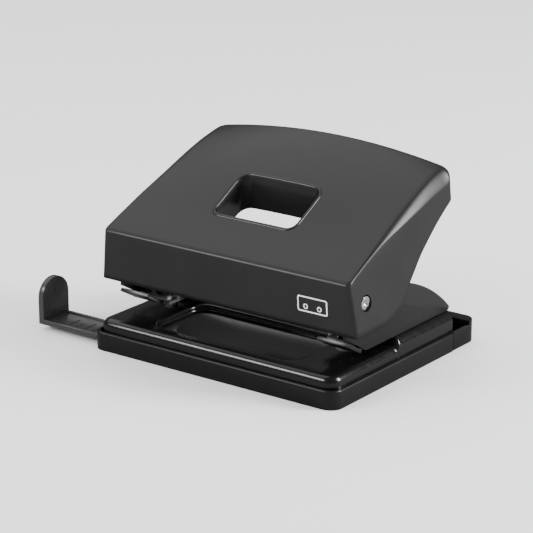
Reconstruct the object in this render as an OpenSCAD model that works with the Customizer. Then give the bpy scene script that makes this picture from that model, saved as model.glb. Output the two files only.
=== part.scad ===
// Two-hole desk punch, 30-sheet size.
// Frame: origin at the centre of the base's underside, +X to the right,
// +Y to the rear, +Z up. Modules are drawn with y = 0 on the base's front
// face, and placed() moves them into the frame.

/* [Base] */
// Width of the chip tray
base_w = 112; // [104:0.5:124]
// Depth of the base, tray and chip door together
base_d = 95.2; // [90:0.1:105]
// Height of the chip tray
tray_h = 7.2; // [6:0.1:8]
// Corner radius of the tray, seen from above
corner_r = 5; // [3:0.5:8]
// Height of the steel deck that the paper lies on
deck_z = 11.8; // [11:0.1:12.5]
// Thickness of the pressed steel
sheet = 1.5; // [1:0.1:2]

/* [Punching] */
// Distance between the two hole centres
hole_pitch = 80; // [80:1:80]
// Diameter of the punched hole
hole_d = 5.5; // [5:0.1:6]
// Distance from the paper's edge to the hole centre
hole_margin = 12; // [11:0.5:13]
// Gap that takes the paper, 30 sheets and room to spare
slot_h = 3.4; // [3:0.1:4]

/* [Lever] */
// Half width of the lever at its lower edge
lever_half = 58.8; // [58:0.1:60]
// Wall thickness of the lever cover
lever_wall = 1.8; // [1.5:0.1:2.2]
// Height of the pivot above the table
pivot_z = 36.2; // [35.5:0.1:37]
// Distance of the pivot from the base's front
pivot_y = 17.5; // [17:0.1:18]
// Diameter of the pivot pins
pivot_d = 5; // [4:0.1:5.5]

/* [Paper guide] */
// Width of the sliding bar
guide_w = 15; // [12:0.5:16]
// Distance of the guide's stop face from the middle of the punch
guide_reach = 83.9; // [70:0.1:95]
// Height of the guide's upright tab
guide_h = 20; // [16:0.5:22]

/* [Hidden] */
$fn = 48;

eps = 0.01;
fit = 0.05;                      // radial clearance of a running fit
far = 100;                       // beyond every face of the punch

// holes and paper slot
pin_x = hole_pitch / 2;
pin_y = 31.5;
stop_y = pin_y + hole_margin;    // the paper's edge stops here
wall_z = deck_z + slot_h;        // underside of the bracket's flange
wall_top = wall_z + sheet;

// base shell
shell_side = 1.6;                // the shell stands this far inside the tray
shell_front = 1.8;
shell_back = 89.5;
shell_t = 1.2;
shell_z = 5.2;                   // lower edge of the shell, inside the tray's rim
hump_z = wall_z;                 // raised rear part, which the brackets stand on
nose_r = 3;
nose_slope = 16;                 // slope where the front edge runs into the deck
rise_r = 60;
rise_c = [shell_front + nose_r + (rise_r - nose_r) * sin(nose_slope), deck_z - rise_r];
nose_c = rise_c + (rise_r - nose_r) * [-sin(nose_slope), cos(nose_slope)];
back_r = 9;
deck_roll = 3;                   // round side edges of the deck and of the rear part
hump_roll = 4.5;
pocket_half = 33.5;
pocket_front = 8;
pocket_back = 38.5;
pocket_r = 6;
pocket_deep = 2.4;
die_h = 2.6;
die_d = 9;

// tray, door and pads
pad_t = 1.1;
pad_d = 11;
pad_xs = [-44, 44];
pad_ys = [11, 68];
tray_wall = 1.5;
ledge = 1.4;                     // the shell stands on this step inside the wall
floor_z = 1.7;                   // top of the tray's floor
seam = 0.3;
door_front = 78.6;
door_z = 0.2;                    // the door clears the table
door_h = 8.9;
door_inner = shell_back + seam;
tongue_half = 30;
tongue_len = 20;
tongue_z = floor_z + seam;
tongue_t = 1;

// brackets
ear_out = 52.2;                  // outer face of the ears
ear_in = ear_out - sheet;
flange_in = 36;                  // inner edge of the bracket's flange
flange_front = 22;
flange_back = 79;
lip_in = 39.2;
lip_angle = 29.4;                // lead-in of the paper slot
lip_len = 9.6;
ear_tip = [12.9, 22.4];
ear_heel = 80.9;
ear_arc_c = [30.8, -35.8];
ear_arc_r = 72.6;
ear_boss_r = 5.8;
rivet_d = 3;
rivet_head_d = 5;
rivet_x = 43.5;
rivet_ys = [52, 70];

// pins and their guides
pin_tip_z = wall_z + 0.2;
pin_top_z = 35.2;
spring_top = 24.9;
wire_d = 0.6;
coil_r = 3.7;
coil_turns = 4.4;
clip_t = 0.7;
clip_d = 8.6;
groove = 0.5;
guide_z = 26.2;                  // underside of the pin guide's upper plate
guide_t = 1.3;
guide_wall_t = 1.1;
guide_wall_y = 25.8;
guide_foot_y = 22.4;
guide_rivet_xs = [41.4, 47.2];
guide_rivet_y = 24.3;
guide_rivet_d = 2;

// lever
lever_front = 8.3;
lever_back = 77.5;
draft = 0.135;                   // the sides lean in by this much per mm of height
skirt_z = 25.1;
brow_z = 45.2;                   // front edge of the lever's top
crown_z = 49.1;                  // the arched top's height and slope
crown_slope = 19.9;
crown_r = 300;
window_half = 19;
window_front = 25.6;
window_back = 46.6;
window_deep = 13.3;
window_r = 4;
arm_in = 52.7;
arm_out = arm_in + sheet;
arm_eye_r = 6;
press_z = pin_top_z + 0.05;
arm_top = 43.5;
bridge_z = arm_top - sheet;      // underside of the arm's upper plate
bridge_d = 4;                    // depth of the plate where it crosses the ear
tab_out = ear_in - 0.4;          // outer side of the screw tab, inside the ear
screw_x = 46.5;
screw_y = 45;
screw_d = 3;

// paper guide
bar_y = 3.9;
bar_z = 2.2;
bar_t = 1.9;
bar_floor = 1.2;
bar_rail = 1.4;
bar_end = 26;
tab_t = 2.5;
leaf_t = 0.4;

// ---------- helpers ----------

// Everything is drawn from the base's front face and moved back by half the depth.
module placed() {
    translate([0, -base_d / 2, 0]) children();
}

// One side of a pair: s is -1 for the left, 1 for the right.
module side(s) {
    if (s < 0) mirror([1, 0, 0]) children();
    else children();
}

// Rectangle with round corners, centred on X, from y0 to y1.
module round_rect(half, y0, y1, r) {
    translate([-half, y0 + r]) square([2 * half, y1 - y0 - 2 * r]);
    translate([-half + r, y0]) square([2 * half - 2 * r, y1 - y0]);
    for (x = [-half + r, half - r], y = [y0 + r, y1 - r])
        translate([x, y]) circle(r);
}

// Rectangle whose two upper corners are round.
module rolled_profile(a, b, z0, z1, f) {
    translate([a, z0]) square([b - a, z1 - f - z0]);
    translate([a + f, z0]) square([b - a - 2 * f, z1 - z0]);
    for (x = [a + f, b - f]) translate([x, z1 - f]) circle(f);
}

// Extrudes a drawing made in (y, z) along X, from x0 to x1.
module along_x(x0, x1) {
    translate([x0, 0, 0]) rotate([90, 0, 90]) linear_extrude(x1 - x0) children();
}

// Extrudes a drawing made in (x, z) along Y, from y0 to y1.
module along_y(y0, y1) {
    translate([0, y1, 0]) rotate([90, 0, 0]) linear_extrude(y1 - y0) children();
}

// Round bar along X.
module bar_x(x0, x1, y, z, d) {
    translate([x0, y, z]) rotate([0, 90, 0]) cylinder(h = x1 - x0, d = d);
}

// Points of an arc in (y, z).
function arc(c, r, a0, a1, n) =
    [for (i = [0:n]) let (a = a0 + (a1 - a0) * i / n) c + r * [cos(a), sin(a)]];

// ---------- base ----------

// Outline of the pressed shell from the side, set in by t: rolled front edge, rising
// deck, the step that stops the paper, and the round rear.
module shell_profile(t) {
    back_c = [shell_back - back_r, hump_z - back_r];
    polygon(concat(
        [[shell_back - t, shell_z - 2 * t], [shell_front + t, shell_z - 2 * t]],
        arc(nose_c, nose_r - t, 180, 90 + nose_slope, 5),
        arc(rise_c, rise_r - t, 90 + nose_slope, 90, 5),
        [[stop_y + t, deck_z - t], [stop_y + t, hump_z - t]],
        arc(back_c, back_r - t, 90, 0, 7)));
}

// The shell's outside, set in by t.
module shell_solid(t) {
    half = base_w / 2 - shell_side - t;
    intersection() {
        along_x(-half, half) shell_profile(t);
        linear_extrude(far) round_rect(half, shell_front + t, shell_back - t, corner_r - t);
        union() {
            along_y(0, stop_y + corner_r)
                rolled_profile(-half, half, 0, deck_z - t, deck_roll - t);
            along_y(stop_y + t, base_d)
                rolled_profile(-half, half, 0, hump_z - t, hump_roll - t);
        }
    }
}

// The thumb pocket's outside, grown by t.
module pocket(t, z0, h) {
    translate([0, 0, z0]) linear_extrude(h)
        round_rect(pocket_half + t, pocket_front - t, pocket_back + t, pocket_r + t);
}

module base_shell() {
    pocket_z = deck_z - pocket_deep;
    color("#17181a") difference() {
        union() {
            difference() {
                shell_solid(0);
                shell_solid(shell_t);
            }
            intersection() {
                shell_solid(0);
                pocket(shell_t, pocket_z - shell_t, far);
            }
        }
        pocket(0, pocket_z, far);
        for (x = [-pin_x, pin_x])
            translate([x, pin_y, deck_z - die_h - 1]) cylinder(h = die_h + 2, d = die_d);
        for (x = [-rivet_x, rivet_x], y = rivet_ys)
            translate([x, y, hump_z - shell_t - 1]) cylinder(h = shell_t + 2, d = rivet_d);
    }
}

// Hardened ring that each pin shears the paper against.
module die(s) {
    color("#b9bcc0") side(s) translate([pin_x, pin_y, deck_z - die_h]) difference() {
        cylinder(h = die_h, d = die_d);
        translate([0, 0, -1]) cylinder(h = die_h + 2, d = hole_d + 2 * fit);
    }
}

// Outline with round front corners and a straight back.
module tray_outline(half, y0, y1, r) {
    translate([-half, y0 + r]) square([2 * half, y1 - y0 - r]);
    translate([-half + r, y0]) square([2 * half - 2 * r, y1 - y0]);
    for (x = [-half + r, half - r]) translate([x, y0 + r]) circle(r);
}

// Open-backed tray that catches the chips. The shell stands on a step inside its wall.
module chip_tray() {
    half = base_w / 2;
    back = door_front - seam;
    step = tray_wall + ledge;
    front_step = bar_y - 0.2;
    rib_y = bar_y + guide_w + 0.2;
    color("#1d1e20") {
        difference() {
            linear_extrude(tray_h) tray_outline(half, 0, back, corner_r);
            translate([0, 0, shell_z]) linear_extrude(tray_h)
                tray_outline(half - tray_wall, tray_wall, back + 1, corner_r - tray_wall);
            translate([0, 0, floor_z]) linear_extrude(tray_h)
                tray_outline(half - step, front_step, back + 1, corner_r - step);
            // slot that the paper guide slides through
            translate([-half - 1, bar_y - 0.2, bar_z - 0.2])
                cube([step + corner_r + 1, guide_w + 0.4, bar_t + 0.4]);
            // recesses for the anti-slip pads
            for (x = pad_xs, y = pad_ys)
                translate([x, y, -1]) cylinder(h = pad_t + 1, d = pad_d);
        }
        // rib behind the paper guide
        translate([-half + step - eps, rib_y, floor_z - eps])
            cube([2 * (half - step) + 2 * eps, 1, shell_z - floor_z + eps]);
        // keepers over the door's tongue
        for (s = [-1, 1]) side(s) translate([0, 64, floor_z - eps]) {
            translate([tongue_half + 0.4, 0, 0]) cube([1.6, 8, 2.6]);
            translate([tongue_half - 2, 0, 1.6 + eps]) cube([4, 8, 1]);
        }
    }
}

module anti_slip_pads() {
    color("#2a2a2b") for (x = pad_xs, y = pad_ys)
        translate([x, y, 0]) cylinder(h = pad_t, d = pad_d);
}

// Rear end of the tray, which pulls out to let the chips fall. A tongue guides it.
module chip_door() {
    half = base_w / 2;
    inner = half - tray_wall + 0.2;
    color("#222325") {
        difference() {
            translate([0, base_d + door_front, door_z]) mirror([0, 1, 0])
                linear_extrude(door_h - door_z)
                    tray_outline(half, door_front, base_d, corner_r);
            translate([-half - 1, 0, tray_h]) cube([2 * half + 2, door_inner, far]);
            translate([-inner, 0, shell_z - seam]) cube([2 * inner, door_inner, far]);
            translate([ledge - inner, 0, floor_z]) cube([2 * (inner - ledge), door_inner, far]);
            // hollow of the rear rail
            translate([corner_r - half, door_inner + tray_wall, 0])
                cube([base_w - 2 * corner_r, base_d - door_inner - 2 * tray_wall, tray_h]);
        }
        translate([-tongue_half, door_front - tongue_len, tongue_z])
            cube([2 * tongue_half, tongue_len + 3, tongue_t]);
        translate([-tongue_half, door_front, door_z])
            cube([2 * tongue_half, 3, tongue_z + tongue_t - door_z]);
    }
}

// ---------- side brackets ----------

// Bracket of bent steel: a flange that roofs the paper slot and stands on the shell
// behind it, the ear that carries the pivot, and the lead-in lip.
module side_bracket(s) {
    color("#1b1c1e") side(s) difference() {
        union() {
            along_x(ear_in, ear_out) ear_outline();
            translate([flange_in, flange_front, wall_z])
                cube([ear_in + eps - flange_in, flange_back - flange_front, sheet]);
            along_x(lip_in, ear_out) lip_outline();
        }
        translate([pin_x, pin_y, wall_z - 1]) cylinder(h = sheet + 2, d = hole_d + 2 * fit);
        for (y = rivet_ys)
            translate([rivet_x, y, wall_z - 1]) cylinder(h = sheet + 2, d = rivet_d);
        for (x = guide_rivet_xs)
            translate([x, guide_rivet_y, wall_z - 1]) cylinder(h = sheet + 2, d = guide_rivet_d);
        bar_x(ear_in - 1, ear_out + 1, pivot_y, pivot_z, pivot_d);
        // relief between the ear and the lip
        along_x(ear_in - 0.4, ear_out + 1)
            polygon([[10, 23.2], [21, 17], [21, 17.9], [10, 24.1]]);
    }
}

// Lip that leads the paper in, bent up from the flange.
module lip_outline() {
    along = lip_len * [-cos(lip_angle), sin(lip_angle)];
    across = sheet * [-sin(lip_angle), -cos(lip_angle)];
    root = [flange_front - 0.2, wall_top];
    polygon([[flange_front + 0.4, wall_z], [flange_front + 0.4, wall_top], root,
             root + along, root + along + across, [flange_front - 0.6, wall_z]]);
}

module ear_outline() {
    pivot = [pivot_y, pivot_z];
    polygon(concat(
        [ear_tip, [25.3, wall_z], [ear_heel - 1, wall_z], [ear_heel, wall_z + 1]],
        arc(ear_arc_c, ear_arc_r, 46.4, 84, 14),
        [pivot + [5, -0.8], pivot - [ear_boss_r, 0], [13.2, 30]]));
    translate(pivot) circle(ear_boss_r);
}

module bracket_rivets() {
    under = 0.8;
    color("#8f9296") for (x = [-rivet_x, rivet_x], y = rivet_ys)
        translate([x, y, hump_z - shell_t]) {
            translate([0, 0, -under]) cylinder(h = under, d = rivet_head_d);
            cylinder(h = shell_t + sheet, d = rivet_d);
            translate([0, 0, shell_t + sheet]) cylinder(h = 1, d = rivet_head_d);
        }
}

// ---------- pin guides, pins and springs ----------

// Angle bracket that guides the upper half of the pin.
module pin_guide(s) {
    wall_x = flange_in - 1;
    color("#9b9ea2") side(s) difference() {
        union() {
            translate([wall_x + 2, guide_foot_y, wall_top])
                cube([13, guide_wall_y + eps - guide_foot_y, guide_t]);
            translate([wall_x, guide_wall_y, wall_top])
                cube([11, guide_wall_t, guide_z + guide_t - wall_top]);
            translate([wall_x, guide_wall_y, guide_z]) cube([11, 10.6, guide_t]);
        }
        translate([pin_x, pin_y, guide_z - 1]) cylinder(h = guide_t + 2, d = hole_d + 2 * fit);
        for (x = guide_rivet_xs)
            translate([x, guide_rivet_y, wall_top - 1])
                cylinder(h = guide_t + 2, d = guide_rivet_d);
    }
}

module guide_rivets() {
    head = 0.9;
    dome_r = 1.75;
    color("#c9ccd0") for (s = [-1, 1], x = guide_rivet_xs)
        translate([s * x, guide_rivet_y, wall_z]) {
            cylinder(h = sheet + guide_t, d = guide_rivet_d);
            translate([0, 0, sheet + guide_t]) intersection() {
                cylinder(h = head, d = guide_rivet_d + 2 * head);
                translate([0, 0, -head]) sphere(r = dome_r);
            }
        }
}

// Hardened pin with a hollow-ground cutting end and a groove for the clip.
module punch_pin(s) {
    r = hole_d / 2;
    grind_r = 2 * r;
    grind_deep = 0.3;
    color("#d2d5d9") side(s) translate([pin_x, pin_y, 0]) difference() {
        union() {
            translate([0, 0, pin_tip_z]) cylinder(h = pin_top_z - r - pin_tip_z, r = r);
            translate([0, 0, pin_top_z - r]) sphere(r = r);
        }
        bar_x(-hole_d, hole_d, 0, pin_tip_z - grind_r + grind_deep, 2 * grind_r);
        translate([0, 0, spring_top]) difference() {
            cylinder(h = clip_t, r = r + 1);
            translate([0, 0, -1]) cylinder(h = clip_t + 2, r = r - groove);
        }
    }
}

module pin_clip(s) {
    color("#85888c") side(s) translate([pin_x, pin_y, spring_top]) difference() {
        cylinder(h = clip_t, d = clip_d);
        translate([0, 0, -1]) cylinder(h = clip_t + 2, r = hole_d / 2 - groove);
    }
}

// Coil of round wire, drawn as a ring of points every few degrees.
module coil(r, wire, z0, z1, turns, sides, steps) {
    n = round(turns * steps);
    function ring(i) =
        let (a = 360 * i / steps, z = z0 + wire / 2 + (z1 - z0 - wire) * i / n)
        [for (k = [0:sides - 1]) let (b = 360 * k / sides)
            [(r + wire / 2 * cos(b)) * cos(a), (r + wire / 2 * cos(b)) * sin(a),
             z + wire / 2 * sin(b)]];
    polyhedron(
        points = [for (i = [0:n]) each ring(i)],
        faces = concat(
            [[for (k = [0:sides - 1]) k]],
            [[for (k = [sides - 1:-1:0]) n * sides + k]],
            [for (i = [0:n - 1], k = [0:sides - 1])
                let (k2 = (k + 1) % sides)
                [i * sides + k2, i * sides + k, (i + 1) * sides + k, (i + 1) * sides + k2]]));
}

module pin_spring(s) {
    color("#c2c5c9") side(s) translate([pin_x, pin_y, 0])
        coil(coil_r, wire_d, wall_top, spring_top, coil_turns, 6, 16);
}

// ---------- pivot ----------

// Headed pin, riveted into the ear, with a dimple in its outer end.
module pivot_pin(s) {
    head_t = 1.4;
    head_d = 8;
    out = 57;
    dimple_r = 1.3;
    color("#d5d7da") side(s) difference() {
        union() {
            bar_x(ear_in - head_t, ear_in, pivot_y, pivot_z, head_d);
            bar_x(ear_in - eps, out, pivot_y, pivot_z, pivot_d);
        }
        translate([out + dimple_r / 2, pivot_y, pivot_z]) sphere(r = dimple_r);
    }
}

module pivot_washer(s) {
    color("#e6e4dc") side(s) difference() {
        bar_x(ear_out, arm_in, pivot_y, pivot_z, pivot_d + 4);
        bar_x(ear_out - 1, arm_in + 1, pivot_y, pivot_z, pivot_d + 2 * fit);
    }
}

// ---------- lever ----------

// The lever's outside, set in by t on every face but the lower one.
module lever_body(t) {
    top_z = far;
    half_low = lever_half + draft * skirt_z;
    half_high = lever_half - draft * (top_z - skirt_z);
    corner = 10;
    corner_y = lever_back - corner;
    intersection() {
        along_x(-far, far) polygon([
            [lever_front + t, brow_z - 0.6 * t],
            [25.5 + 0.5 * t, 54.2 - t],
            [46.2 + 0.4 * t, 65.6 - t],
            [60 + 0.3 * t, 71.9 - t],
            [lever_back - t, 77.6 - t],
            [lever_back - t, 10],
            [lever_front + 2.7 + t, 10]]);
        // leaning sides
        along_y(0, far) polygon([
            [t - half_low, 0], [t - half_high, top_z], [half_high - t, top_z], [half_low - t, 0]]);
        // round rear corners
        linear_extrude(top_z) {
            translate([-far, 0]) square([2 * far, corner_y + 2]);
            translate([-lever_half + corner + 2, 0])
                square([2 * (lever_half - corner - 2), lever_back - t]);
            for (x = [-1, 1] * (lever_half - corner - 4))
                translate([x, corner_y]) circle(corner - t);
        }
        // arched top
        translate([0, 0, crown_z]) rotate([crown_slope, 0, 0])
            translate([0, 0, -crown_r]) rotate([-90, 0, 0])
                translate([0, 0, -far]) cylinder(h = 3 * far, r = crown_r - t, $fn = 96);
    }
}

// Room below the lever's lower edge: level at the front, then rising to the rear.
module under_lever() {
    bend_r = 14.5;
    along_x(-far, far) polygon(concat(
        [[0, 0], [0, skirt_z], [30, skirt_z]],
        arc([30, skirt_z + bend_r], bend_r, -90, -15, 8),
        [[47.2, 38.6], [59.6, 50.3], [76.3, 62.2], [90, 66], [90, 0]]));
}

module window_prism(grow, r) {
    translate([0, 0, 30]) linear_extrude(60)
        round_rect(window_half + grow, window_front - grow, window_back + grow, r);
}

module lever_cover() {
    color("#202123") difference() {
        union() {
            difference() {
                lever_body(0);
                lever_body(lever_wall);
            }
            // bosses for the arm screws
            intersection() {
                lever_body(lever_wall - eps);
                for (x = [-screw_x, screw_x])
                    translate([x, screw_y, arm_top]) cylinder(h = 30, d = 7);
            }
        }
        under_lever();
        window_prism(0, window_r);
        for (s = [-1, 1]) {
            side(s) bar_x(50, far, pivot_y, pivot_z, pivot_d + 1.3);
            translate([s * screw_x, screw_y, arm_top - 1]) cylinder(h = 9, d = screw_d);
        }
    }
}

// Moulded collar that lines the finger window and clips under the cover.
module window_collar() {
    gap = 0.1;
    wall = 1.6;
    flange = 3;
    color("#2b2c2e") difference() {
        intersection() {
            union() {
                window_prism(-gap, window_r - gap);
                intersection() {
                    window_prism(flange, window_r + 2);
                    lever_body(lever_wall + gap);
                }
            }
            lever_body(0.3);
            // as deep as the window's wall
            along_x(-far, far) polygon([
                [20, 51.1 - window_deep], [20, far], [60, far], [60, 73 - window_deep]]);
        }
        window_prism(-gap - wall, window_r - gap - wall);
        // the flange is only as thick as the wall
        difference() {
            lever_body(lever_wall + gap + wall);
            window_prism(-gap, window_r - gap);
        }
    }
}

// Steel arm on each side: it turns on the pivot, carries the cover and
// presses on the pin.
module press_arm(s) {
    inner = pin_x - 4;
    pivot = [pivot_y, pivot_z];
    color("#8b8e92") side(s) difference() {
        union() {
            along_x(arm_in, arm_out) {
                translate(pivot) circle(arm_eye_r);
                polygon([
                    pivot + [-2, 5.6], [27, arm_top], [50, arm_top], [50, bridge_z],
                    [44, 38], [36, 34], pivot + [1.5, -5.8]]);
            }
            translate([inner, 27, bridge_z]) cube([arm_out - inner, bridge_d, sheet]);
            translate([inner, 27, press_z]) cube([8, sheet, arm_top - press_z]);
            translate([inner, 27, press_z]) cube([8, 8.6, sheet]);
            translate([screw_x - 4, 27, bridge_z]) cube([tab_out - screw_x + 4, 23, sheet]);
        }
        bar_x(arm_in - 1, arm_out + 1, pivot_y, pivot_z, pivot_d + 2 * fit);
        translate([screw_x, screw_y, bridge_z - 1]) cylinder(h = sheet + 2, d = screw_d + 0.4);
    }
}

module arm_screws() {
    head = 1.6;
    length = 8;
    color("#b4b7bb") for (x = [-screw_x, screw_x]) translate([x, screw_y, bridge_z - head])
        difference() {
            union() {
                cylinder(h = head, d = screw_d + 2.4);
                cylinder(h = head + length, d = screw_d);
            }
            for (a = [0, 90]) rotate(a) cube([screw_d, 0.7, head], center = true);
        }
}

// ---------- paper guide ----------

module paper_guide() {
    x0 = -guide_reach - tab_t;
    color([0.28, 0.28, 0.29, 0.9]) {
        difference() {
            translate([x0, bar_y, bar_z]) cube([bar_end - x0, guide_w, bar_t]);
            translate([-guide_reach, bar_y + bar_rail, bar_z + bar_floor])
                cube([guide_reach + bar_end - bar_rail, guide_w - 2 * bar_rail, bar_t]);
        }
        along_x(x0, -guide_reach) guide_tab_outline();
    }
}

// Upright tab with a round top.
module guide_tab_outline() {
    r = guide_w / 2;
    translate([bar_y, bar_z]) square([guide_w, guide_h - r - bar_z]);
    translate([bar_y + r, guide_h - r]) circle(r);
}

// Leaf spring across the bar that holds the paper guide where it is put. Its ends rest
// on the tray's rib and front step, and its middle presses in the bar's channel.
module guide_spring() {
    low = bar_z + bar_floor + 0.1;
    path = [[3.1, shell_z], [5.6, shell_z], [8.5, low], [14.3, low], [17.2, shell_z],
            [20.1, shell_z]];
    color("#b0b3b7") along_x(-50, -44) polygon(concat(
        path, [for (i = [len(path) - 1:-1:0]) path[i] + [0, leaf_t]]));
}

// ---------- assembly ----------

placed() base_shell();
placed() chip_tray();
placed() chip_door();
placed() anti_slip_pads();
placed() side_bracket(-1);  // side_bracket_left
placed() side_bracket(1);  // side_bracket_right
placed() bracket_rivets();
placed() die(-1);  // die_left
placed() die(1);  // die_right
placed() pin_guide(-1);  // pin_guide_left
placed() pin_guide(1);  // pin_guide_right
placed() guide_rivets();
placed() punch_pin(-1);  // punch_pin_left
placed() punch_pin(1);  // punch_pin_right
placed() pin_clip(-1);  // pin_clip_left
placed() pin_clip(1);  // pin_clip_right
placed() pin_spring(-1);  // pin_spring_left
placed() pin_spring(1);  // pin_spring_right
placed() pivot_pin(-1);  // pivot_pin_left
placed() pivot_pin(1);  // pivot_pin_right
placed() pivot_washer(-1);  // pivot_washer_left
placed() pivot_washer(1);  // pivot_washer_right
placed() lever_cover();
placed() window_collar();
placed() press_arm(-1);  // press_arm_left
placed() press_arm(1);  // press_arm_right
placed() arm_screws();
placed() paper_guide();
placed() guide_spring();
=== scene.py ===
# %% [markdown]
# # A two-hole desk punch
# The punch stands on a black chip tray. A glossy pressed shell carries two brackets, and
# a wide satin lever turns on them and drives two pins through the paper. The packed
# model gives every place and size, and each cell below makes one piece or one finish.

# %% Load the frame
import math

import bmesh
import bpy
from mathutils import Matrix, Vector


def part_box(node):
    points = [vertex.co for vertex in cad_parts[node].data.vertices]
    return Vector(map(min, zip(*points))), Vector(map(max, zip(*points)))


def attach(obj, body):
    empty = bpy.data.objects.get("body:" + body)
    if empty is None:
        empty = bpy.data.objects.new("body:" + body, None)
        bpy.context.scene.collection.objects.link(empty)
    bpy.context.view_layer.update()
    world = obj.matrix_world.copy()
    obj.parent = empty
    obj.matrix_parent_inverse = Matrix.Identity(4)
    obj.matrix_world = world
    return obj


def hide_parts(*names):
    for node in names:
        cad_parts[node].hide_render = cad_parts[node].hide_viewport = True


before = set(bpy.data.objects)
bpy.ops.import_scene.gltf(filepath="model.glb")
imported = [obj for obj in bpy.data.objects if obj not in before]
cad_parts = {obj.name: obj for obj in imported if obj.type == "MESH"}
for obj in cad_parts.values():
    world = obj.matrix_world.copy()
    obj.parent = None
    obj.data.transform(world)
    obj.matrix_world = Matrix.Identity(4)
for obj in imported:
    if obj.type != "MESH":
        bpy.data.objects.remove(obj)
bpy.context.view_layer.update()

# %% [markdown]
# Small parts are easier to think about in millimetres. A drawing frame is used whose
# origin is the middle of the base's front edge, and one matrix takes a finished mesh
# from it into the model's own frame, so that every object itself stays at the origin.

# %% Drawing frame in millimetres
front_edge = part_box("chip_tray")[0][1]
TO_FRAME = Matrix.Translation((0, front_edge, 0)) @ Matrix.Scale(0.001, 4)
TO_MM = TO_FRAME.inverted()


def mm_box(node):
    """Lowest and highest corner of a CAD node, in the drawing frame."""
    low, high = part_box(node)
    return TO_MM @ Vector(low), TO_MM @ Vector(high)


cover_low, cover_high = mm_box("lever_cover")
shell_low, shell_high = mm_box("base_shell")
print("lever cover, mm:", [round(c, 1) for c in (*cover_low, *cover_high)])
print("base shell, mm:", [round(c, 1) for c in (*shell_low, *shell_high)])

# %% [markdown]
# ## Finishes
# Nearly everything on this punch is black, so the finishes differ in gloss and grain and
# hardly in colour. Each material is a Principled shader whose roughness wanders a little
# and whose bump carries a grain of the real size, both read from Object coordinates.

# %% Node helpers


def new_finish(name, colour, metallic=0.0):
    """A material with its nodes, and the Principled shader in it."""
    finish = bpy.data.materials.new(name)
    finish.use_nodes = True
    shader = finish.node_tree.nodes["Principled BSDF"]
    shader.inputs["Base Color"].default_value = (*colour, 1)
    shader.inputs["Metallic"].default_value = metallic
    return finish, shader


def object_noise(finish, scale, detail=2.0, stretch=(1, 1, 1)):
    """Noise over the piece itself. scale is in repeats per metre."""
    nodes, links = finish.node_tree.nodes, finish.node_tree.links
    place = nodes.new("ShaderNodeTexCoord")
    turn = nodes.new("ShaderNodeMapping")
    turn.inputs["Scale"].default_value = stretch
    noise = nodes.new("ShaderNodeTexNoise")
    noise.inputs["Scale"].default_value = scale
    noise.inputs["Detail"].default_value = detail
    links.new(place.outputs["Object"], turn.inputs["Vector"])
    links.new(turn.outputs["Vector"], noise.inputs["Vector"])
    return noise


def vary(finish, noise, socket, low, high):
    """Lets a shader's number wander between low and high with the noise."""
    nodes, links = finish.node_tree.nodes, finish.node_tree.links
    span = nodes.new("ShaderNodeMapRange")
    span.inputs["From Min"].default_value = 0.3
    span.inputs["From Max"].default_value = 0.7
    span.inputs["To Min"].default_value = low
    span.inputs["To Max"].default_value = high
    links.new(noise.outputs["Fac"], span.inputs["Value"])
    links.new(span.outputs["Result"], socket)


def tint(finish, noise, shader, dark, light):
    """Lets the base colour wander between two close colours."""
    nodes, links = finish.node_tree.nodes, finish.node_tree.links
    ramp = nodes.new("ShaderNodeValToRGB")
    ramp.color_ramp.elements[0].position = 0.35
    ramp.color_ramp.elements[0].color = (*dark, 1)
    ramp.color_ramp.elements[1].position = 0.65
    ramp.color_ramp.elements[1].color = (*light, 1)
    links.new(noise.outputs["Fac"], ramp.inputs["Fac"])
    links.new(ramp.outputs["Color"], shader.inputs["Base Color"])


def grain(finish, shader, noise, depth, strength=1.0):
    """Bump of a real depth, in metres."""
    nodes, links = finish.node_tree.nodes, finish.node_tree.links
    bump = nodes.new("ShaderNodeBump")
    bump.inputs["Strength"].default_value = strength
    bump.inputs["Distance"].default_value = depth
    links.new(noise.outputs["Fac"], bump.inputs["Height"])
    links.new(bump.outputs["Normal"], shader.inputs["Normal"])


# %% [markdown]
# The lever is moulded in black with a satin texture: a spark-eroded mould leaves a grain
# of about 0.3 mm, which blurs reflections evenly. The tray is the same plastic, duller.

# %% Plastics


def moulded_black(name, grey, rough, grain_size, depth, sheen=0.5):
    """Black moulding with an eroded grain. grain_size and depth are in metres."""
    finish, shader = new_finish(name, (grey, grey, grey * 1.04))
    cloud = object_noise(finish, 60, 3)
    tint(finish, cloud, shader, (grey * 0.92,) * 3, (grey * 1.08,) * 3)
    vary(finish, cloud, shader.inputs["Roughness"], rough - 0.03, rough + 0.03)
    shader.inputs["Specular IOR Level"].default_value = sheen
    grain(finish, shader, object_noise(finish, 1 / grain_size, 2), depth, 0.35)
    return finish


satin_black = moulded_black("satin_black_moulding", 0.012, 0.34, 0.00035, 0.00002, 0.4)
collar_black = moulded_black("collar_moulding", 0.010, 0.30, 0.00035, 0.00002, 0.5)
tray_black = moulded_black("tray_moulding", 0.006, 0.32, 0.0005, 0.00002, 0.35)
print("plastics made")

# %% [markdown]
# The shell and brackets are steel, sprayed and stoved. Gloss enamel settles into a faint
# orange peel with bumps 2 to 3 mm apart, and a clear coat layer gives its sharp glint.

# %% Enamels


def enamel(name, grey, rough, coat):
    """Stoved gloss paint on steel."""
    finish, shader = new_finish(name, (grey, grey, grey * 1.05))
    peel = object_noise(finish, 420, 1)
    vary(finish, peel, shader.inputs["Roughness"], rough - 0.02, rough + 0.03)
    shader.inputs["Coat Weight"].default_value = coat
    shader.inputs["Coat Roughness"].default_value = 0.15
    grain(finish, shader, peel, 0.00002, 0.06)
    return finish


gloss_enamel = enamel("gloss_black_enamel", 0.004, 0.20, 0.15)
bracket_enamel = enamel("bracket_enamel", 0.006, 0.32, 0.1)
print("enamels made")

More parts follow.
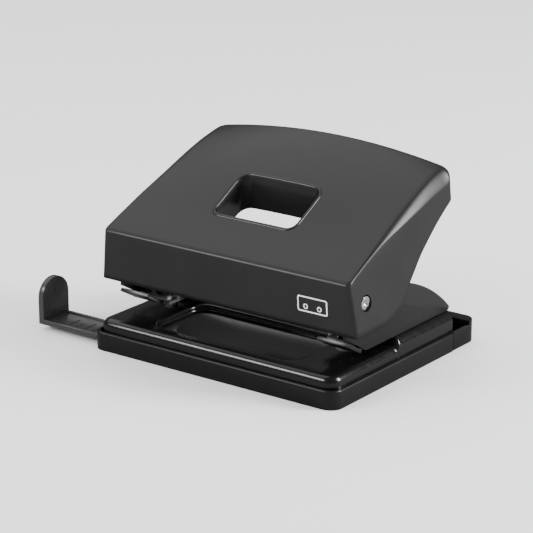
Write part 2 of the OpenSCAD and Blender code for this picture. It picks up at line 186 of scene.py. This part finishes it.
# %% [markdown]
# Bright metal shows how it was made. Turned and ground pieces have fine rings or lines,
# made here with noise squeezed along one axis, and zinc plate has soft cloudy patches.

# %% Metals


def bright_metal(name, grey, rough, stretch, lines=900):
    """Worked metal whose marks run along the axis where stretch is small."""
    finish, shader = new_finish(name, (grey, grey, grey * 1.01), metallic=1.0)
    marks = object_noise(finish, lines, 3, stretch)
    vary(finish, marks, shader.inputs["Roughness"], rough - 0.05, rough + 0.09)
    tint(finish, marks, shader, (grey * 0.9,) * 3, (min(grey * 1.06, 0.95),) * 3)
    grain(finish, shader, marks, 0.000008, 0.3)
    return finish


ground_steel = bright_metal("ground_steel", 0.62, 0.24, (1, 1, 0.04))
zinc_plate = bright_metal("zinc_plate", 0.50, 0.38, (1, 1, 1), 260)
spring_wire = bright_metal("spring_wire", 0.56, 0.28, (1, 1, 0.2))
rivet_steel = bright_metal("rivet_steel", 0.70, 0.22, (1, 1, 1), 700)
pivot_chrome = bright_metal("pivot_chrome", 0.86, 0.14, (0.05, 1, 1))
dark_phosphate = bright_metal("dark_phosphate", 0.22, 0.45, (1, 1, 1), 500)
print("metals made")

# %% [markdown]
# The paper guide is a smoky clear plastic that looks grey in a thick edge. Transmission
# with a dark tint gives that, and a fairly rough skin keeps it from looking like glass.
# The last three finishes are small: nylon washers, rubber pads and the white print.

# %% Smoke, nylon, rubber and print


def smoke_plastic():
    """Translucent grey moulding."""
    finish, shader = new_finish("smoke_plastic", (0.040, 0.040, 0.042))
    cloud = object_noise(finish, 90, 2)
    vary(finish, cloud, shader.inputs["Roughness"], 0.22, 0.30)
    shader.inputs["Transmission Weight"].default_value = 0.12
    shader.inputs["IOR"].default_value = 1.49
    grain(finish, shader, object_noise(finish, 1600, 2), 0.000006, 0.15)
    return finish


def soft_finish(name, colour, rough, size):
    """Plain matt material with a small grain."""
    finish, shader = new_finish(name, colour)
    cloud = object_noise(finish, 1 / size, 3)
    vary(finish, cloud, shader.inputs["Roughness"], rough - 0.05, rough + 0.05)
    grain(finish, shader, cloud, 0.00002, 0.4)
    return finish


guide_smoke = smoke_plastic()
nylon = soft_finish("natural_nylon", (0.72, 0.70, 0.64), 0.5, 0.0008)
pad_rubber = soft_finish("pad_rubber", (0.022, 0.022, 0.023), 0.75, 0.0006)
print_white = soft_finish("white_print", (0.80, 0.80, 0.79), 0.45, 0.0004)
print("small finishes made")

# %% [markdown]
# ## Tools for making pieces
# Two ways are used. The big visible covers are grown outwards, ring by ring, and every
# point is placed at its height, which gives smooth rolled edges.
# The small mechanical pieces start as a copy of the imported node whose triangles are
# merged and flattened, and whose sharp edges are then broken with a bevel.

# %% Piece helpers


def add_piece(bm, name, body, finish, stands_for=()):
    """Makes an object of a mesh drawn in millimetres and puts it on its body."""
    bmesh.ops.transform(bm, matrix=TO_FRAME, verts=bm.verts)
    mesh = bpy.data.meshes.new(name)
    bm.to_mesh(mesh)
    bm.free()
    piece = bpy.data.objects.new(name, mesh)
    bpy.context.collection.objects.link(piece)
    mesh.materials.append(finish)
    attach(piece, body)
    if stands_for:
        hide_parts(*stands_for)
    print(name, "faces:", len(mesh.polygons))
    return piece


def smooth_by_angle(bm, degrees):
    """Smooth faces, with the edges sharper than that kept crisp."""
    for face in bm.faces:
        face.smooth = True
    for edge in bm.edges:
        edge.smooth = not (len(edge.link_faces) == 2
                           and edge.calc_face_angle(0) > math.radians(degrees))


def edge_broken(node, body, finish, width=0.25, segments=2, sharp=35, rim=None,
                clamp=True):
    """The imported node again, with each sharp edge bevelled by width in mm. A rim gives
    a test for the edges that are rounded more, and their radius. Clamping shrinks every
    bevel to suit the shortest edge, so a piece with tiny edges goes without it."""
    bm = bmesh.new()
    bm.from_mesh(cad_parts[node].data)
    bmesh.ops.transform(bm, matrix=TO_MM, verts=bm.verts)
    bmesh.ops.remove_doubles(bm, verts=bm.verts, dist=0.002)
    bmesh.ops.dissolve_limit(bm, angle_limit=math.radians(0.6), verts=bm.verts,
                             edges=bm.edges)
    crisp = [e for e in bm.edges if len(e.link_faces) == 2
             and e.calc_face_angle(0) > math.radians(sharp)]
    if rim:
        rounded = [e for e in crisp if rim[0](*e.verts)]
        crisp = [e for e in crisp if not rim[0](*e.verts)]
        bmesh.ops.bevel(bm, geom=rounded, offset=rim[1], offset_type="OFFSET",
                        affect="EDGES", segments=5, profile=0.5, material=-1,
                        clamp_overlap=True)
        crisp = [e for e in crisp if e.is_valid]
        print(node, "rim edges:", len(rounded))
    bmesh.ops.bevel(bm, geom=crisp, offset=width, offset_type="OFFSET", affect="EDGES",
                    segments=segments, profile=0.5, material=-1, clamp_overlap=clamp)
    flat = sum(face.calc_area() < 1e-8 for face in bm.faces)
    print(node, "faces without area:", flat)
    smooth_by_angle(bm, 40)
    return add_piece(bm, node + "_finished", body, finish, (node,))


# %% Outline and curves


def rounded_outline(bm, corners, radii, segments=7):
    """A flat face through corners, each one rounded by its radius."""
    made = [bm.verts.new((x, y, 0)) for x, y in corners]
    face = bm.faces.new(made)
    for corner, radius in zip(made, radii):
        bmesh.ops.bevel(bm, geom=[corner], offset=radius, affect="VERTICES",
                        segments=segments, profile=0.5, material=-1)
    bm.faces.ensure_lookup_table()
    return max((f for f in bm.faces if f.is_valid), key=lambda f: f.index)


def curve_through(points):
    """A smooth function through a few points, with slopes like a bent spline."""
    slopes = []
    for i in range(len(points)):
        left, right = points[max(i - 1, 0)], points[min(i + 1, len(points) - 1)]
        slopes.append((right[1] - left[1]) / (right[0] - left[0]))

    def at(x):
        x = min(max(x, points[0][0]), points[-1][0])
        i = max(k for k in range(len(points) - 1) if points[k][0] <= x)
        (x0, z0), (x1, z1) = points[i], points[i + 1]
        width = x1 - x0
        t = (x - x0) / width
        return ((2 * t**3 - 3 * t**2 + 1) * z0 + (t**3 - 2 * t**2 + t) * width * slopes[i]
                + (3 * t**2 - 2 * t**3) * z1 + (t**3 - t**2) * width * slopes[i + 1])

    return at


def smooth_step(x, start, end):
    """Rises from 0 at start to 1 at end with no corner."""
    t = min(max((x - start) / (end - start), 0), 1)
    return t * t * (3 - 2 * t)


def steps(start, end, count):
    """count + 1 evenly spaced values from start to end."""
    return [start + (end - start) * i / count for i in range(count + 1)]


# %% [markdown]
# The covers all have a rounded rectangle for a plan. Each starts from a small loop and
# grows outwards one ring at a time: a ring of edges is extruded, and every new point is
# placed by a rule that knows where on the first loop it came from.

# %% Growing rings


def corner_point(x, y, plan):
    """The middle of the rounding that this outline point belongs to."""
    half, y0, y1, front_r, back_r = plan
    t = min(max((y - y0 - front_r) / (y1 - y0 - front_r - back_r), 0), 1)
    r = front_r + (back_r - front_r) * t
    return Vector((min(max(x, r - half), half - r),
                   min(max(y, y0 + front_r), y1 - back_r))), r, t


def on_plan(start, inner, outer, out=0.0):
    """Carries a point of the inner plan to the same place on the outer one."""
    core, r, t = corner_point(start[0], start[1], inner)
    away = (Vector(start[:2]) - core).normalized()
    half, y0, y1, front_r, back_r = outer
    new_r = front_r + (back_r - front_r) * t
    along = core.x / (inner[0] - r) * (half - new_r)
    centre = Vector((along, y0 + front_r + (y1 - y0 - front_r - back_r) * t))
    return centre + away * (new_r + out)


def start_loop(bm, plan, cuts, keep_face=False):
    """A rounded rectangle with its straight sides cut up, remembering its points."""
    half, y0, y1, front_r, back_r = plan
    rounded_outline(bm, [(-half, y0), (half, y0), (half, y1), (-half, y1)],
                    [front_r, front_r, back_r, back_r])
    long_ones = [e for e in bm.edges if e.calc_length() > 2 * min(front_r, back_r)]
    bmesh.ops.subdivide_edges(bm, edges=long_ones, cuts=cuts)
    memory = bm.verts.layers.float_vector.new("start")
    for vert in bm.verts:
        vert[memory] = vert.co
    if not keep_face:
        bmesh.ops.delete(bm, geom=bm.faces[:], context="FACES_ONLY")
    return memory, bm.edges[:]


def grow(bm, ring, memory, place):
    """Extrudes a ring of edges and places each new point by its memory."""
    made = bmesh.ops.extrude_edge_only(bm, edges=ring)["geom"]
    fresh = {g for g in made if isinstance(g, bmesh.types.BMVert)}
    for vert in fresh:
        vert.co = place(vert[memory])
    return [g for g in made if isinstance(g, bmesh.types.BMEdge)
            and all(v in fresh for v in g.verts)]


def finish_growth(bm, memory, degrees=30):
    """Faces outward, smooth, and without the memory."""
    bm.verts.layers.float_vector.remove(memory)
    bmesh.ops.recalc_face_normals(bm, faces=bm.faces)
    smooth_by_angle(bm, degrees)


# %% [markdown]
# ## The lever
# The lever is one large moulding. Its top rises from front to back and is slightly
# crowned, a facet that widens to the rear joins it to the drafted sides, and the sides
# are cut away along a stepped lower edge. The surface is grown from the finger window
# outwards: top, facet as a squared-off curve, and wall. A Solidify modifier makes the
# moulding's wall, because thickness is easier to change there than in the mesh.

# %% The lever's heights and outline
WINDOW = (19.3, 25.4, 46.9, 4.2, 5.2)
COVER = (55.0, 8.1, 77.5, 1.8, 3.6)
FRONT_TOP = 45.2  # height of the front face's upper edge
SKIRT = 25.1  # height of the lower edge at the front
FRONT_LEAN = 0.0796  # how far the front face goes back for each mm down
WALL_HALF = 58.8  # half width at the lower edge
SKIN = 1.8  # thickness of the moulding
ridge_height = curve_through([(8.3, 45.2), (25.5, 53.6), (46.2, 65.0), (60, 71.4),
                              (70, 75.2), (77.5, 77.4)])
crown_drop = curve_through([(8.4, 0), (20, 0.1), (30, 0.6), (46, 2.5), (60, 3.4),
                            (76, 4.8)])
facet_line = curve_through([(8.4, 55.3), (12, 55.1), (20, 54.5), (30, 53.8),
                            (46, 52.9), (61, 52.2), (77.4, 51.5)])
facet_drop = curve_through([(8.4, 0.5), (20, 0.7), (30, 1.2), (46, 3.2), (61, 4.8),
                            (77.4, 5.5)])
lower_edge = [(8.3, 25.1), (28, 25.1), (31.8, 26.2), (36.6, 27.9), (38.8, 28.7),
              (41.9, 32), (44.9, 36.5), (47, 38.5), (49.1, 41), (53.9, 45.8),
              (59.6, 50.3), (65.8, 54.8), (72.9, 59.2), (77.6, 61.5)]


def top_height(x, y):
    """Height of the lever's top skin."""
    return ridge_height(y) - crown_drop(y) * (x / 52) ** 2


def skirt_height(y):
    """Height of the lower edge at this depth."""
    for (ya, za), (yb, zb) in zip(lower_edge, lower_edge[1:]):
        if y <= yb:
            return za + (zb - za) * max(y - ya, 0) / (yb - ya)
    return lower_edge[-1][1]


def wall_point(start, z):
    """A point of the drafted outer wall at height z."""
    flat = on_plan(start, WINDOW, COVER)
    draft = 0.135 - 0.045 * smooth_step(flat.y, 12, 60)
    half = WALL_HALF - draft * (z - SKIRT)
    forward = min(max((40 - flat.y) / 31.7, 0), 1)
    return Vector((flat.x * half / COVER[0], flat.y + FRONT_LEAN * (FRONT_TOP - z) * forward,
                   z))


def top_edge_point(start):
    """Where the top skin starts to turn down."""
    flat = on_plan(start, WINDOW, COVER)
    front = 1 - smooth_step(flat.y, 8.3, 13)
    rear = smooth_step(flat.y, 73.5, 77.5)
    x = flat.x * facet_line(flat.y) / COVER[0]
    y = flat.y + 1.8 * front - 2.0 * rear
    return Vector((x, y, top_height(x, y))), front, rear


def facet_point(start, angle):
    """A point between the top skin and the wall, angle going from 0 to 90."""
    inner, front, rear = top_edge_point(start)
    flat = on_plan(start, WINDOW, COVER)
    peak = top_height(flat.x, flat.y)
    corner = wall_point(start, peak)
    drop = facet_drop(flat.y) * (1 - rear) + 2.4 * rear + 1.4 * front
    outer = wall_point(start, inner.z - drop)
    power = 2 / (1.35 + 0.55 * max(front, rear))
    down = math.sin(math.radians(angle)) ** power
    over = math.cos(math.radians(angle)) ** power
    return corner + (inner - corner) * (1 - down) + (outer - corner) * (1 - over)


print("top at the front, the window and the rear:",
      [round(top_height(0, y), 1) for y in (8.3, 25.6, 46.6, 77.4)])

# %% The lever's skin
bm = bmesh.new()
memory, ring = start_loop(bm, WINDOW, 21)
for vert in bm.verts:
    vert.co.z = top_height(vert.co.x, vert.co.y)
window_ring = ring[:]
for share in steps(0, 1, 18)[1:]:
    def place(start, share=share):
        target = top_edge_point(start)[0]
        x = start[0] + (target.x - start[0]) * share
        y = start[1] + (target.y - start[1]) * share
        return Vector((x, y, top_height(x, y)))
    ring = grow(bm, ring, memory, place)
for angle in steps(0, 90, 9)[1:]:
    ring = grow(bm, ring, memory, lambda start, angle=angle: facet_point(start, angle))
for share in (0.06, 0.3, 0.6, 0.9, 1.0):
    def place(start, share=share):
        top = facet_point(start, 90)
        bottom = skirt_height(top.y)
        if top.y > 76.9:
            bottom = lower_edge[-1][1]
        return wall_point(start, top.z + (bottom - top.z) * share)
    ring = grow(bm, ring, memory, place)
for depth, inward in ((0.35, 0.05), (0.9, 0.3)):
    def place(start, depth=depth, inward=inward):
        flat = on_plan(start, WINDOW, WINDOW, -inward)
        return Vector((*flat, top_height(flat.x, flat.y) - depth))
    window_ring = grow(bm, window_ring, memory, place)
finish_growth(bm, memory, 50)
lever = add_piece(bm, "lever_moulding", "lever", satin_black,
                  ("lever_cover",))
wall = lever.modifiers.new("moulded wall", "SOLIDIFY")
wall.thickness = SKIN / 1000
wall.offset = -1
wall.use_even_offset = True
print("lever top, m:", round(max(v.co.z for v in lever.data.vertices), 4))

# %% [markdown]
# The two pivot pins show through a round hole in each side. The mould would make it with
# a side core. Here one long cylinder crosses both walls and a Boolean takes it away.
# The result is kept as the lever's mesh, because the cutter is not a part of the punch.

# %% The pivot holes


def drill(piece, places, radius, depth, axis="Z"):
    """Takes round holes out of a piece and keeps the result as its mesh. The places
    are the middles of the holes, in mm."""
    bm = bmesh.new()
    for place in places:
        made = bmesh.ops.create_cone(bm, cap_ends=True, segments=64, radius1=radius,
                                     radius2=radius, depth=depth)["verts"]
        if axis == "X":
            bmesh.ops.rotate(bm, matrix=Matrix.Rotation(math.pi / 2, 3, "Y"), verts=made)
        bmesh.ops.translate(bm, vec=place, verts=made)
    bmesh.ops.transform(bm, matrix=TO_FRAME, verts=bm.verts)
    tool_mesh = bpy.data.meshes.new("drill")
    bm.to_mesh(tool_mesh)
    bm.free()
    tool = bpy.data.objects.new("drill", tool_mesh)
    bpy.context.collection.objects.link(tool)
    hole = piece.modifiers.new("holes", "BOOLEAN")
    hole.object = tool
    hole.operation = "DIFFERENCE"
    hole.solver = "EXACT"
    bpy.context.view_layer.update()
    seen = piece.evaluated_get(bpy.context.evaluated_depsgraph_get())
    drilled = bpy.data.meshes.new_from_object(seen)
    piece.modifiers.clear()
    old = piece.data
    piece.data = drilled
    bpy.data.meshes.remove(old)
    drilled.name = piece.name
    bpy.data.objects.remove(tool)
    bpy.data.meshes.remove(tool_mesh)
    print(piece.name, "drilled, faces:", len(drilled.polygons))


pivot_low, pivot_high = mm_box("pivot_pin_right")
pivot_at = (pivot_low + pivot_high) / 2
drill(lever, [(0, pivot_at.y, pivot_at.z)], 3.1, 130, "X")

# %% [markdown]
# A collar lines the window. It is a separate deeper moulding that stands a hair above
# the lever's skin, so its rounded rim catches a thin line of light all the way round.

# %% The window's collar
bm = bmesh.new()
memory, first = start_loop(bm, WINDOW, 14)


def collar_place(inward, above=None, floor=None):
    """A rule for a collar ring: inset by inward, at a height over the skin."""
    def place(start):
        flat = on_plan(start, WINDOW, WINDOW, -inward)
        skin = top_height(flat.x, flat.y)
        return Vector((*flat, skin + above if floor is None else skin - floor))
    return place


for vert in bm.verts:
    vert.co = collar_place(-0.15, -0.5)(vert[memory])
ring = first
for inward, above in ((-0.15, 0.0), (0.05, 0.28), (0.4, 0.38), (0.8, 0.28), (1.0, 0.0)):
    ring = grow(bm, ring, memory, collar_place(inward, above))
for deep in (4, 8, 12.6, 13.0):
    ring = grow(bm, ring, memory, collar_place(1.0, floor=deep))
ring = grow(bm, ring, memory, collar_place(0.05, floor=13.0))
ring = grow(bm, ring, memory, collar_place(0.05, floor=2.2))
bmesh.ops.bridge_loops(bm, edges=first + ring)
finish_growth(bm, memory, 50)
add_piece(bm, "window_collar_moulding", "lever", collar_black,
          ("window_collar",))

# %% [markdown]
# ## The pressed shell
# The shell is deep-drawn from sheet with a soft rolled edge. Its front deck is low and
# holds the thumb pocket, and behind the paper stop it steps up. It is grown from the
# pocket's floor: floor, pocket wall with rolled rims, deck, rolled edge, side wall.

# %% The shell
POCKET = (33.5, 8.0, 38.5, 6.0, 6.0)
SHELL = (54.4, 1.8, 89.5, 5.0, 5.0)
DECK, HUMP, STOP, SHELL_FOOT = 11.8, 15.2, 43.5, 5.2
POCKET_DEEP = 2.4


def shell_height(y):
    """Height of the shell before its edge rolls."""
    nose = 0.0
    if y < 8:
        nose = 0.012 * (8 - y) ** 2
    return DECK - nose + (HUMP - DECK) * smooth_step(y, STOP - 1.6, STOP + 1.2)


def edge_roll(y):
    """Radius of the rolled edge along the side."""
    base = 3.0 + 1.5 * smooth_step(y, STOP - 3, STOP + 3)
    return base + 4.0 * smooth_step(y, 80, 89)


bm = bmesh.new()
memory, ring = start_loop(bm, POCKET, 17, keep_face=True)
bmesh.ops.translate(bm, vec=(0, 0, DECK - POCKET_DEEP), verts=bm.verts)
for vert in bm.verts:
    flat = on_plan(vert[memory], POCKET, POCKET, -0.9)
    vert.co.x, vert.co.y = flat
for inward, up in ((0.5, 0.14), (0.15, 0.5), (0.0, 0.95), (0.0, 1.5), (-0.12, 1.95),
                   (-0.4, 2.27), (-0.9, 2.4)):
    def place(start, inward=inward, up=up):
        flat = on_plan(start, POCKET, POCKET, -inward)
        return Vector((*flat, DECK - POCKET_DEEP + up))
    ring = grow(bm, ring, memory, place)
for share in steps(0, 1, 22)[1:]:
    def place(start, share=share):
        near = on_plan(start, POCKET, POCKET, 0.9)
        far = on_plan(start, POCKET, SHELL)
        core = corner_point(far.x, far.y, SHELL)[0]
        far = far + (core - far).normalized() * edge_roll(far.y)
        flat = near + (far - near) * share
        return Vector((*flat, DECK))
    ring = grow(bm, ring, memory, place)
for place_y in (40.6, 41.6, 42.2, 42.8, 43.4, 44, 44.6, 45.2, 46.4):
    bmesh.ops.bisect_plane(bm, geom=bm.verts[:] + bm.edges[:] + bm.faces[:],
                           plane_co=(0, place_y, 0), plane_no=(0, 1, 0), dist=0.001)
for vert in bm.verts:
    if vert.co.z > DECK - 0.001:
        vert.co.z = shell_height(vert.co.y)
ring = [e for e in bm.edges if e.is_boundary]
rim = {v: Vector(v.co) for e in ring for v in e.verts}
for vert in rim:
    vert[memory] = vert.co


def shell_wall(start, angle, foot=None):
    """A point of the rolled edge, or of the wall below it."""
    core = corner_point(start[0], start[1], SHELL)[0]
    away = (Vector(start[:2]) - core)
    away = away.normalized() if away.length > 0.01 else Vector((0, -1))
    r = edge_roll(start[1])
    turn = math.radians(angle)
    flat = Vector(start[:2]) + away * (r * math.sin(turn))
    z = start[2] - r * (1 - math.cos(turn)) if foot is None else foot
    return Vector((*flat, z))


for angle in steps(0, 90, 8)[1:]:
    ring = grow(bm, ring, memory, lambda start, angle=angle: shell_wall(start, angle))
for foot in (SHELL_FOOT + 0.3, SHELL_FOOT):
    ring = grow(bm, ring, memory, lambda start, foot=foot: shell_wall(start, 90, foot))
finish_growth(bm, memory, 40)
shell = add_piece(bm, "pressed_shell", "base", gloss_enamel,
                  ("base_shell",))
sheet = shell.modifiers.new("sheet thickness", "SOLIDIFY")
sheet.thickness = 0.0012
sheet.offset = -1
print("shell size, m:", [round(d, 4) for d in shell.dimensions])

# %% [markdown]
# The dies are pressed into two round holes in the deck. The punch pins come down through
# these holes, so they are real openings, drilled with the same helper.

# %% The shell's holes
die_places = []
for side in ("left", "right"):
    low, high = mm_box("die_" + side)
    die_places.append(((low.x + high.x) / 2, (low.y + high.y) / 2, DECK))
    die_radius = (high.x - low.x) / 2
drill(shell, die_places, die_radius, 12)

# %% [markdown]
# ## The small pieces
# The rest are machined, pressed or moulded to simple shapes. Sharp edges show no
# highlight at all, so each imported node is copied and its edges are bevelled. Where a
# clamped bevel meets a very short edge it stays tiny, as on the brackets.

# %% Tray, door and brackets
tray_high = mm_box("chip_tray")[1]


def on_tray_rim(a, b):
    """The upper outer edge along the tray's front and sides."""
    outside = all(v.co.y < 0.01 or abs(v.co.x) > tray_high.x - 5.01 for v in (a, b))
    beyond = all(v.co.y < 5.01 or abs(v.co.x) > tray_high.x - 0.01 for v in (a, b))
    return outside and beyond and min(a.co.z, b.co.z) > 7.1 and max(a.co.z, b.co.z) < 7.3


edge_broken("chip_tray", "base", tray_black, 0.3, rim=(on_tray_rim, 0.7))
edge_broken("chip_door", "door", tray_black, 0.12, clamp=False)
for side in ("left", "right"):
    edge_broken("side_bracket_" + side, "base", bracket_enamel, 0.18)
    edge_broken("press_arm_" + side, "lever", zinc_plate, 0.12, clamp=False)
    edge_broken("pivot_pin_" + side, "base", pivot_chrome, 0.3, 3)
edge_broken("paper_guide", "guide", guide_smoke, 0.2, 2)

# %% [markdown]
# The guide's channel carries a scale for setting the paper. Plain ticks stand for it,
# every second one longer. They are shallow ridges, as an engraved mould leaves them.

# %% The guide's ticks
channel_floor = mm_box("paper_guide")[0].z + 1.2
bm = bmesh.new()
for count, x in enumerate(steps(-74, -34, 10)):
    length = 4.0 if count % 2 else 7.0
    tick = bmesh.ops.create_cube(bm, size=1)["verts"]
    bmesh.ops.scale(bm, vec=(0.4, length, 0.3), verts=tick)
    bmesh.ops.translate(bm, vec=(x, 7 + length / 2, channel_floor), verts=tick)
smooth_by_angle(bm, 40)
add_piece(bm, "guide_scale_ticks", "guide", guide_smoke)

# %% [markdown]
# The pins, springs and rivets are already as fine as they will be seen, and they keep
# their own mesh. They only take a finish.

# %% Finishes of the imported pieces
PLAIN = {"anti_slip_pads": pad_rubber, "bracket_rivets": rivet_steel,
         "guide_rivets": rivet_steel, "arm_screws": dark_phosphate,
         "guide_spring": spring_wire}
for side in ("left", "right"):
    PLAIN["die_" + side] = ground_steel
    PLAIN["punch_pin_" + side] = ground_steel
    PLAIN["pin_guide_" + side] = zinc_plate
    PLAIN["pin_clip_" + side] = dark_phosphate
    PLAIN["pin_spring_" + side] = spring_wire
    PLAIN["pivot_washer_" + side] = nylon
for node, finish in PLAIN.items():
    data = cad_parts[node].data
    data.materials.clear()
    data.materials.append(finish)
print("finished nodes:", len(PLAIN))

# %% [markdown]
# ## The printed mark
# A small white mark on the lever's front shows what the tool does: a sheet with two
# holes. It is a thin print, made as a flat frame with two rings and laid on the face.

# %% The pictogram
FACE_TILT = math.atan(FRONT_LEAN)


def print_shape(bm, plan, line):
    """An outlined rounded rectangle of ink, drawn flat and 0.05 mm thick."""
    fresh = bmesh.new()
    half, y0, y1, r = plan
    face = rounded_outline(fresh, [(-half, y0), (half, y0), (half, y1), (-half, y1)],
                           [r] * 4, 5)
    bmesh.ops.inset_region(fresh, faces=[face], thickness=line, use_boundary=True,
                           use_even_offset=True)
    bmesh.ops.delete(fresh, geom=[face], context="FACES_ONLY")
    top = bmesh.ops.extrude_face_region(fresh, geom=fresh.faces[:])["geom"]
    bmesh.ops.translate(fresh, vec=(0, 0, 0.05),
                        verts=[g for g in top if isinstance(g, bmesh.types.BMVert)])
    bmesh.ops.recalc_face_normals(fresh, faces=fresh.faces)
    flat = bpy.data.meshes.new("ink")
    fresh.to_mesh(flat)
    fresh.free()
    bm.from_mesh(flat)
    bpy.data.meshes.remove(flat)


bm = bmesh.new()
print_shape(bm, (6.5, -3.0, 3.0, 0.8), 0.5)
for x in (-3.0, 3.0):
    done = set(bm.verts)
    print_shape(bm, (1.0, -1.9, 0.1, 0.99), 0.4)
    bmesh.ops.translate(bm, vec=(x, 0, 0), verts=[v for v in bm.verts if v not in done])
bmesh.ops.rotate(bm, matrix=Matrix.Rotation(math.pi / 2 + FACE_TILT, 3, "X"),
                 verts=bm.verts)
MARK_HEIGHT = 34.2
face_y = COVER[1] + (FRONT_TOP - MARK_HEIGHT) * FRONT_LEAN
bmesh.ops.translate(bm, vec=(40, face_y - 0.01, MARK_HEIGHT), verts=bm.verts)
add_piece(bm, "pictogram_print", "lever", print_white)

# %% [markdown]
# ## Floor, light and camera
# The punch stands on a white sweep. Black gloss only shows what it mirrors, so the room
# is white for the floor and nearly dark for mirrored rays, as black cards would make it.
# Three soft lamps then draw the highlights: above, left front, and right.

# %% Floor
bpy.ops.mesh.primitive_plane_add(size=8, location=(0, 0, 0))
floor = bpy.context.object
floor.name = "studio_floor"
paper, shader = new_finish("studio_paper", (0.93, 0.93, 0.93))
vary(paper, object_noise(paper, 30, 2), shader.inputs["Roughness"], 0.7, 0.8)
shader.inputs["Specular IOR Level"].default_value = 0.1
# The floor stays white for the camera but is painted dark grey (0.2) for mirrored rays: a
# painted darker reflection of the floor in the black gloss.
floor_ray = paper.node_tree.nodes.new("ShaderNodeLightPath")
floor_shade = paper.node_tree.nodes.new("ShaderNodeMapRange")
floor_shade.inputs["To Min"].default_value = 0.93
floor_shade.inputs["To Max"].default_value = 0.2
paper.node_tree.links.new(floor_ray.outputs["Is Glossy Ray"],
                          floor_shade.inputs["Value"])
paper.node_tree.links.new(floor_shade.outputs["Result"], shader.inputs["Base Color"])
floor.data.materials.append(paper)

world = bpy.context.scene.world or bpy.data.worlds.new("studio_world")
bpy.context.scene.world = world
world.use_nodes = True
backdrop = world.node_tree.nodes["Background"]
backdrop.inputs["Strength"].default_value = 1.25
ray_kind = world.node_tree.nodes.new("ShaderNodeLightPath")
black_cards = world.node_tree.nodes.new("ShaderNodeMapRange")
black_cards.inputs["To Min"].default_value = 1.0
black_cards.inputs["To Max"].default_value = 0.11
world.node_tree.links.new(ray_kind.outputs["Is Glossy Ray"], black_cards.inputs["Value"])
world.node_tree.links.new(black_cards.outputs["Result"], backdrop.inputs["Color"])

# %% Lamps


def soft_lamp(name, place, target, size, watts):
    """A square area lamp at place that looks at target."""
    light = bpy.data.lights.new(name, "AREA")
    light.shape = "RECTANGLE"
    light.size, light.size_y = size
    light.energy = watts
    lamp = bpy.data.objects.new(name, light)
    bpy.context.collection.objects.link(lamp)
    aim = Vector(target) - Vector(place)
    lamp.matrix_world = (Matrix.Translation(place)
                         @ aim.to_track_quat("-Z", "Y").to_matrix().to_4x4())
    return lamp


soft_lamp("overhead_lamp", (-0.5, 0.15, 0.85), (0, 0, 0.03), (1.1, 0.9), 3.5)
soft_lamp("front_lamp", (-0.45, -0.7, 0.5), (0, 0, 0.03), (0.45, 0.25), 5)
soft_lamp("right_lamp", (0.80, 0.42, 0.46), (0.04, 0.02, 0.05), (0.3, 0.5), 16)
print("lamps made")

# %% [markdown]
# The camera stands a little to the right of the front and looks down about 18 degrees,
# with a long lens, so the lines of the punch stay nearly parallel.

# %% Camera
TURN, RISE = math.radians(36.6), math.radians(18.1)
right = Vector((math.cos(TURN), math.sin(TURN), 0))
back = Vector((math.sin(TURN) * math.cos(RISE), -math.cos(TURN) * math.cos(RISE),
               math.sin(RISE)))
up = back.cross(right)
centre = TO_FRAME @ (back * 852 + right * 21.2 + up * 41.2)
lens = bpy.data.cameras.new("studio_camera")
lens.lens = 157.3
lens.sensor_width = 36
lens.dof.use_dof = False
camera = bpy.data.objects.new("studio_camera", lens)
bpy.context.collection.objects.link(camera)
turn = Matrix((right, up, back)).transposed().to_4x4()
camera.matrix_world = Matrix.Translation(centre) @ turn
bpy.context.scene.camera = camera
